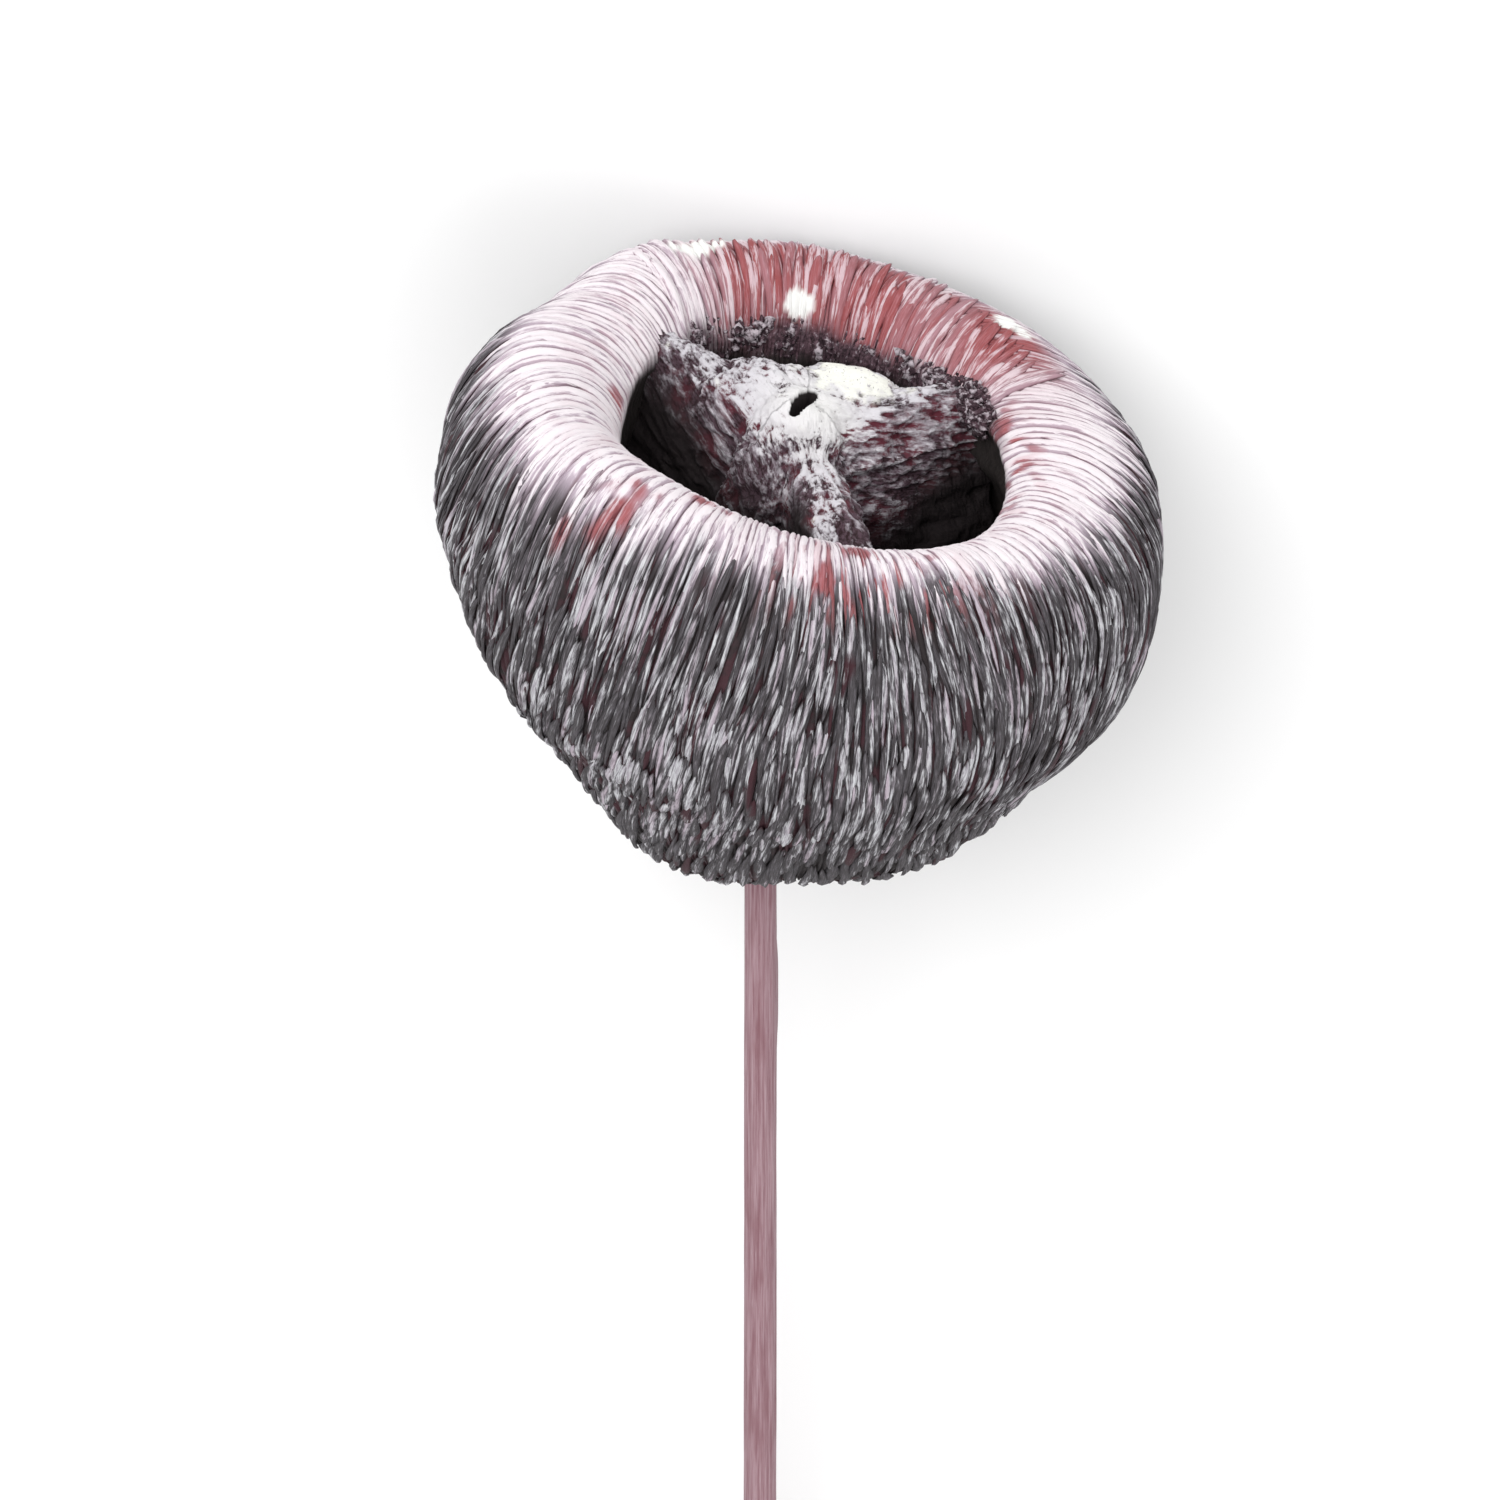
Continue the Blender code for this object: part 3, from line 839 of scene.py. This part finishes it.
def make_stick():
    """A round stick with shallow grain, a lifted splinter and a plain cut end."""
    shape = bmesh.new()
    uv = shape.loops.layers.uv.new("grain_map")
    bmesh.ops.create_cone(
        shape, cap_ends=True, segments=STICK_SIDES, radius1=1.0, radius2=1.0, depth=1.0
    )
    walls = [e for e in shape.edges if abs(e.verts[0].co.z - e.verts[1].co.z) > 0.5]
    bmesh.ops.subdivide_edges(shape, edges=walls, cuts=STICK_CUTS)
    total = STICK_SUNK + STICK_SHOWN
    for vertex in shape.verts:
        turn = math.atan2(vertex.co.y, vertex.co.x)
        along = (vertex.co.z + 0.5) * total
        end = 1 - along / total
        radius = STICK_RADIUS + (STICK_END_RADIUS - STICK_RADIUS) * min(1.0, end * 2)
        grain = 0.0
        for close, dense, height in ((5, 30, 0.00007), (14, 110, 0.00004)):
            ring = Vector((math.cos(turn) * close, math.sin(turn) * close, along * dense))
            grain += noise.noise(ring) * height
        level = along - STICK_SHOWN - POD_DEPTH
        splinter = math.exp(-((turn - 0.35) / 0.16) ** 2)
        splinter *= math.exp(-((level + 0.080) / 0.009) ** 4) * 0.00038
        radius += grain + splinter - 0.00003
        spot = Vector((STICK_OFFSET + radius * math.cos(turn), radius * math.sin(turn), level))
        vertex.co = LYING @ spot
        vertex.co.z = max(vertex.co.z, 0.0)
    for face in shape.faces:
        face.smooth = len(face.verts) == 4
    inverse = LYING.inverted()
    for face in shape.faces:
        middle = inverse @ face.calc_center_median()
        face_turn = math.atan2(middle.y, middle.x - STICK_OFFSET)
        for loop in face.loops:
            spot = inverse @ loop.vert.co
            turn = math.atan2(spot.y, spot.x - STICK_OFFSET)
            if abs(turn - face_turn) > math.pi:
                turn += math.copysign(math.tau, face_turn - turn)
            loop[uv].uv = (turn * STICK_RADIUS * 1000, spot.z * 1000)
    return finished(shape, "pod_stick", "stick")


# Finishing.


class Finish:
    """Short ways to lay out a material's nodes."""

    def __init__(self, name):
        self.material = bpy.data.materials.new(name)
        self.material.use_nodes = True
        self.nodes = self.material.node_tree.nodes
        self.links = self.material.node_tree.links
        self.shader = self.nodes["Principled BSDF"]

    def put(self, socket, value):
        if isinstance(value, bpy.types.NodeSocket):
            self.links.new(value, socket)
        else:
            socket.default_value = value

    def node(self, kind, output, inputs=(), **settings):
        """Adds a node, sets it up, fills its inputs and gives one of its outputs."""
        node = self.nodes.new(kind)
        for name, setting in settings.items():
            setattr(node, name, setting)
        for name, value in inputs:
            self.put(node.inputs[name], value)
        return node.outputs[output]

    def value(self, name, output="Fac"):
        return self.node("ShaderNodeAttribute", output, attribute_name=name)

    def math(self, kind, first, second):
        return self.node("ShaderNodeMath", 0, ((0, first), (1, second)), operation=kind)

    def plus(self, value, extra, share):
        """The value and a share of something extra."""
        return self.math("ADD", value, self.math("MULTIPLY", extra, share))

    def varied(self, value, extra, share):
        """The value, raised where the extra is over a half and lowered where it is under."""
        return self.plus(value, self.math("SUBTRACT", extra, 0.5), share)

    def ramp(self, value, low, high, start=0.0, end=1.0):
        """Smoothly from start to end as value goes from low to high."""
        names = ("Value", "From Min", "From Max", "To Min", "To Max")
        inputs = zip(names, (value, low, high, start, end))
        return self.node("ShaderNodeMapRange", "Result", inputs, interpolation_type="SMOOTHSTEP")

    def mix(self, share, first, second):
        inputs = (("Factor", share), ("A", first), ("B", second))
        return self.node("ShaderNodeMix", "Result", inputs, data_type="RGBA")

    def noise(self, source, scale, detail, rough):
        inputs = (("Vector", source), ("Scale", scale), ("Detail", detail), ("Roughness", rough))
        return self.node("ShaderNodeTexNoise", "Fac", inputs)

    def streaks(self, source, across, along, detail, rough):
        """Noise that is drawn out along a UV map's second direction."""
        inputs = (("Vector", source), ("Scale", (across, along, 1)))
        drawn = self.node("ShaderNodeMapping", "Vector", inputs)
        return self.noise(drawn, 1.0, detail, rough)

    def uv(self, name):
        return self.node("ShaderNodeUVMap", "UV", uv_map=name)

    def place(self):
        return self.node("ShaderNodeTexCoord", "Object")

    def bump(self, height, distance, strength):
        inputs = (("Height", height), ("Distance", distance), ("Strength", strength))
        normal = self.node("ShaderNodeBump", "Normal", inputs)
        self.put(self.shader.inputs["Normal"], normal)

    def surface(self, colour, roughness, shine):
        self.put(self.shader.inputs["Base Color"], colour)
        self.shader.inputs["Roughness"].default_value = roughness
        self.shader.inputs["Specular IOR Level"].default_value = shine
        return self.material


FROST = (0.86, 0.80, 0.83, 1)
PAINT = (0.95, 0.95, 0.93, 1)
ASH = (0.125, 0.115, 0.130, 1)
CHARCOAL = (0.050, 0.044, 0.048, 1)
# Black painted shade: in the grooves, in the throat, deep in the pod and in the hub's hole.
SHADE_BLACK = (0.018, 0.013, 0.014, 1)
# The dark lining inside the pod, with painted shade on it.
HOLLOW = (0.026, 0.021, 0.020, 1)
MAUVE = (0.35, 0.25, 0.29, 1)
BURGUNDY = (0.045, 0.014, 0.020, 1)
BRICK = (0.34, 0.085, 0.090, 1)
ROSE = (0.62, 0.40, 0.45, 1)
LILAC = (0.50, 0.41, 0.48, 1)
CREAM = (0.93, 0.93, 0.86, 1)
# The red grooves' colour, a painted shade of the red.
GROOVE_RED = (0.15, 0.030, 0.038, 1)
DUSTY_BRICK = (0.43, 0.16, 0.18, 1)
PALE_SHADE = (0.35, 0.32, 0.365, 1)
PALE = (0.66, 0.67, 0.69, 1)
WOOL_SHADE = (0.026, 0.014, 0.019, 1)
WOOL = (0.13, 0.075, 0.095, 1)
WOOL_DUST = (0.45, 0.39, 0.43, 1)
CRUMB = (0.12, 0.070, 0.088, 1)
# Painted highlight on the crumbs.
CRUMB_HIGHLIGHT = (0.52, 0.46, 0.50, 1)
PITH_SHADE = (0.026, 0.010, 0.013, 1)
PITH = (0.10, 0.060, 0.078, 1)
PITH_WINE = (0.13, 0.022, 0.036, 1)
# Painted highlight on the pith's folds.
PITH_HIGHLIGHT = (0.44, 0.40, 0.44, 1)
PITH_FROST = (0.68, 0.66, 0.70, 1)
HUB_FROST = (0.88, 0.87, 0.86, 1)
STICK_SHADE = (0.20, 0.085, 0.105, 1)
STICK_PINK = (0.38, 0.25, 0.28, 1)
STICK_DUST = (0.56, 0.46, 0.48, 1)
STICK_STAIN = (0.17, 0.055, 0.070, 1)
TABLE_TINTS = ((0.86, 0.86, 0.86, 1), (0.88, 0.88, 0.88, 1))


def husk_finish():
    """Whitewash brushed over dyed fibres: it sits on crests and leaves the grooves dark, and the
    grooves' colour is partly painted shade between the ribs.
    """
    f = Finish("whitewashed_husk")
    ribs = f.uv("rib_map")
    rise, white, red = f.value("rise"), f.value("white"), f.value("red")
    dark, tone, wine = f.value("dark"), f.value("tone"), f.value("wine")
    streaks = f.streaks(ribs, 2.2, 0.16, 5.0, 0.6)
    hairs = f.streaks(ribs, 6.0, 0.40, 4.0, 0.6)
    specks = f.streaks(ribs, 3.0, 1.8, 4.0, 0.7)
    patches = f.noise(f.place(), 110.0, 4.0, 0.6)
    # The colour under the whitewash, in the grooves and on what stands up; in the grooves it is
    # also painted shade, down to black.
    groove = f.mix(f.ramp(patches, 0.44, 0.56), SHADE_BLACK, BURGUNDY)
    groove = f.mix(f.ramp(white, 0.1, 0.8), groove, MAUVE)
    groove = f.mix(red, groove, GROOVE_RED)
    body = f.mix(f.ramp(hairs, 0.42, 0.70), CHARCOAL, ASH)
    body = f.mix(f.ramp(white, 0.0, 0.6), body, LILAC)
    body = f.mix(red, body, f.mix(f.ramp(hairs, 0.42, 0.66), BRICK, DUSTY_BRICK))
    body = f.mix(wine, body, BURGUNDY)
    # Where the skin stands low it takes the groove colour: the bare dye with painted shade.
    low, high = f.ramp(white, 0, 1, 0.10, 0.0), f.ramp(white, 0, 1, 0.45, 0.65)
    colour = f.mix(f.ramp(rise, low, high), groove, body)
    # Whitewash over what stands up, fibre by fibre.
    reach = f.varied(f.varied(rise, streaks, 1.8), hairs, 1.6)
    reach = f.varied(reach, tone, f.plus(f.ramp(white, 0, 1, 0.85, 0.3), red, 0.6))
    start = f.plus(f.ramp(white, 0.0, 1.0, 0.54, 0.28), red, 0.55)
    start = f.plus(start, f.math("SUBTRACT", 0.5, patches), f.ramp(white, 0, 1, 1.2, 0.7))
    start = f.plus(start, wine, 0.40)
    brushed = f.ramp(f.math("SUBTRACT", reach, start), 0.0, f.ramp(white, 0, 1, 0.74, 0.42))
    pale = f.mix(f.ramp(hairs, 0.36, 0.64), PALE_SHADE, PALE)
    hue = f.streaks(ribs, 0.4, 0.02, 2.0, 0.5)
    pale = f.mix(f.ramp(hue, 0.50, 0.62, 0.0, 0.8), pale, LILAC)
    pale = f.mix(f.ramp(white, 0.0, 0.6), pale, FROST)
    pale = f.mix(f.math("MULTIPLY", red, 0.72), pale, ROSE)
    colour = f.mix(f.math("MULTIPLY", brushed, f.ramp(white, 0, 1, 0.92, 0.97)), colour, pale)
    wool = f.noise(f.place(), 1500.0, 4.0, 0.65)
    crumbs = f.mix(f.ramp(wool, 0.36, 0.60), WOOL_SHADE, WOOL)
    crumbs = f.mix(f.ramp(wool, 0.58, 0.72), crumbs, WOOL_DUST)
    colour = f.mix(f.value("crumb"), colour, crumbs)
    colour = f.mix(f.value("splash"), colour, PAINT)
    # Painted shade inside the throat, over its dark lining.
    colour = f.mix(dark, colour, HOLLOW)
    fibres = f.plus(f.plus(f.math("MULTIPLY", streaks, 0.5), hairs, 0.4), specks, 0.25)
    f.bump(fibres, 0.0006, 0.8)
    return f.surface(colour, 0.74, 0.30)


def crumb_finish():
    """Dark woolly crumbs with a painted highlight on their highest points."""
    f = Finish("woolly_crumbs")
    crumb_noise = f.noise(f.place(), 1300.0, 4.0, 0.65)
    # A painted highlight where the crumbs stand out most.
    lift = f.varied(f.varied(f.value("rise"), crumb_noise, 2.2), f.value("tone"), 0.7)
    colour = f.mix(f.ramp(crumb_noise, 0.35, 0.65), WOOL_SHADE, CRUMB)
    colour = f.mix(f.ramp(lift, 0.60, 1.15), colour, CRUMB_HIGHLIGHT)
    # Painted shade on the crumbs deeper in the throat.
    colour = f.mix(f.value("dark"), colour, SHADE_BLACK)
    f.bump(crumb_noise, 0.0004, 0.8)
    return f.surface(colour, 0.85, 0.2)


def partition_finish():
    """Dry pith: frosted on top, wine red and dark in its folds, cream paint on the hub, with
    painted highlights on the folds and painted shade deeper down and in the hub's hole.
    """
    f = Finish("whitewashed_pith")
    top, fold, depth = f.value("top"), f.value("fold"), f.value("depth")
    place, strand = f.place(), f.value("strand", "Vector")
    threads = f.noise(strand, 1.0, 5.0, 0.65)
    wrinkle = f.noise(strand, 2.6, 4.0, 0.7)
    patches = f.noise(place, 150.0, 4.0, 0.6)
    specks = f.noise(place, 1900.0, 3.0, 0.6)
    colour = f.mix(f.ramp(wrinkle, 0.40, 0.60), PITH_SHADE, PITH)
    colour = f.mix(f.ramp(patches, 0.47, 0.60, 0.0, 0.85), colour, PITH_WINE)
    # lit: a painted highlight on the folds' crests, weaker deeper down.
    lit = fold
    for extra, share in ((threads, 2.8), (specks, 0.8), (patches, 0.8)):
        lit = f.varied(lit, extra, share)
    lit = f.plus(lit, depth, -0.40)
    colour = f.mix(f.ramp(lit, 0.45, 1.15, 0.0, 0.85), colour, PITH_HIGHLIGHT)
    crust = f.noise(place, 1100.0, 5.0, 0.75)
    share = f.math("MULTIPLY", top, 0.5)
    grain = f.plus(f.math("MULTIPLY", crust, share), threads, f.math("SUBTRACT", 1.0, share))
    frost = f.ramp(top, 0.0, 1.0, -0.12, 0.54)
    for extra, share in ((grain, 3.4), (wrinkle, 1.2), (patches, 1.4), (fold, 0.8)):
        frost = f.varied(frost, extra, share)
    for name, share in (("ledge", 0.40), ("hub", 0.60), ("pit", -0.60)):
        frost = f.plus(frost, f.value(name), share)
    white = f.mix(f.value("hub"), PITH_FROST, HUB_FROST)
    colour = f.mix(f.ramp(frost, 0.36, 0.96, 0.0, 0.96), colour, white)
    colour = f.mix(f.math("MULTIPLY", f.value("cream"), f.ramp(specks, 0.30, 0.42)), colour, CREAM)
    # Painted shade deeper in the pod.
    colour = f.mix(f.ramp(depth, 0.30, 0.72), colour, SHADE_BLACK)
    # Painted shade in the hub's hole.
    colour = f.mix(f.ramp(f.value("bore"), 0.1, 1.0), colour, SHADE_BLACK)
    f.bump(f.plus(f.math("MULTIPLY", threads, 0.7), wrinkle, 0.4), 0.0007, 0.8)
    return f.surface(colour, 0.78, 0.25)


def stick_finish():
    """Thin mauve pink paint, with the wood's grain and darker stains showing through."""
    f = Finish("painted_stick")
    grain_map = f.uv("grain_map")
    grain = f.streaks(grain_map, 3.2, 0.06, 6.0, 0.7)
    fine = f.streaks(grain_map, 9.0, 0.35, 4.0, 0.7)
    blotch = f.streaks(grain_map, 0.35, 0.05, 3.0, 0.6)
    colour = f.mix(f.ramp(grain, 0.32, 0.68), STICK_SHADE, STICK_PINK)
    colour = f.mix(f.ramp(fine, 0.60, 0.80, 0, 0.6), colour, STICK_DUST)
    colour = f.mix(f.ramp(blotch, 0.30, 0.50, 0.55, 0.0), colour, STICK_STAIN)
    f.bump(grain, 0.0003, 0.6)
    return f.surface(colour, 0.62, 0.5)


# Table, light and camera.


# The photo: its width in pixels, its scale, and where the middle of the pod's rim lies in it.
PHOTO_SIZE = 1500
METRES_PER_PIXEL = 0.0001305
POD_IN_PHOTO = (790, 491)
LOOK_DOWN = radians(33)
LENS = 200.0
SENSOR = 36.0
TABLE_HALF = 3.0
LIGHTS_AIM = Vector((0, 0, 0.04))


def make_table():
    """A pale surface for the pod to lie on, which isn't a part of it."""
    shape = bmesh.new()
    bmesh.ops.create_grid(shape, x_segments=1, y_segments=1, size=TABLE_HALF)
    table = add_object("table_top", as_mesh(shape, "table_top"))
    f = Finish("pale_table")
    tint = f.noise(f.place(), 3.0, 2.0, 0.5)
    table.data.materials.append(f.surface(f.mix(tint, *TABLE_TINTS), 0.9, 0.1))


def add_light(name, place, size, power):
    """A round lamp that shines on the pod."""
    lamp = bpy.data.lights.new(name, "AREA")
    lamp.shape = "DISK"
    lamp.size = size
    lamp.energy = power
    holder = add_object(name, lamp)
    holder.location = place
    holder.rotation_mode = "QUATERNION"
    holder.rotation_quaternion = (LIGHTS_AIM - Vector(place)).to_track_quat("-Z", "Y")


def make_camera():
    """The photo's view: above the mouth, with the pod's own axis up in the picture."""
    distance = PHOTO_SIZE * METRES_PER_PIXEL * LENS / SENSOR
    turned = LYING.to_3x3()
    back = (turned @ Vector((0, -math.cos(LOOK_DOWN), math.sin(LOOK_DOWN)))).normalized()
    up = turned @ Vector((0, 0, 1))
    up = (up - back * up.dot(back)).normalized()
    right = up.cross(back)
    off_right, off_down = (place - PHOTO_SIZE / 2 for place in POD_IN_PHOTO)
    target = LYING @ Vector((0, 0, 0))
    target += up * off_down * METRES_PER_PIXEL - right * off_right * METRES_PER_PIXEL
    data = bpy.data.cameras.new("photo_camera")
    data.lens = LENS
    data.sensor_width = SENSOR
    data.clip_start = 0.05
    data.clip_end = 20.0
    camera = add_object("photo_camera", data)
    turning = Matrix((right, up, back)).transposed().to_4x4()
    camera.matrix_world = Matrix.Translation(target + back * distance) @ turning
    bpy.context.scene.camera = camera


def make_light():
    """An even white room with two soft lamps."""
    world = bpy.data.worlds.new("pale_room")
    world.use_nodes = True
    background = world.node_tree.nodes["Background"]
    background.inputs["Color"].default_value = (1, 1, 1, 1)
    background.inputs["Strength"].default_value = 0.80
    bpy.context.scene.world = world
    bpy.context.scene.view_settings.view_transform = "Standard"
    add_light("key_light", (-0.35, 0.60, 1.10), 0.8, 9.0)
    add_light("front_light", (0.25, -0.35, 1.20), 1.0, 3.5)


make_camera()
make_light()
make_table()
husk_paint = husk_finish()
draws = np.random.default_rng(5)
outside = outside_fibres(draws)
quarters = np.array_split(np.arange(len(outside["turn"])), 4)
pieces = [make_husk(), fibre_bundle("pod_back_fibres", back_fibres(draws), 6, 20, draws)]
for number, chosen in enumerate(quarters, 1):
    part = {key: value[chosen] for key, value in outside.items()}
    pieces.append(fibre_bundle(f"pod_fibres_{number}", part, 5, 9, draws))
for piece in pieces:
    piece.data.materials.append(husk_paint)
crumbs = make_crumbs(draws)
crumbs.data.materials.append(crumb_finish())
partition = make_partition()
partition.data.materials.append(partition_finish())
stick = make_stick()
stick.data.materials.append(stick_finish())
bpy.context.view_layer.update()

for piece in (*pieces, crumbs, partition, stick):
    piece.data.calc_loop_triangles()
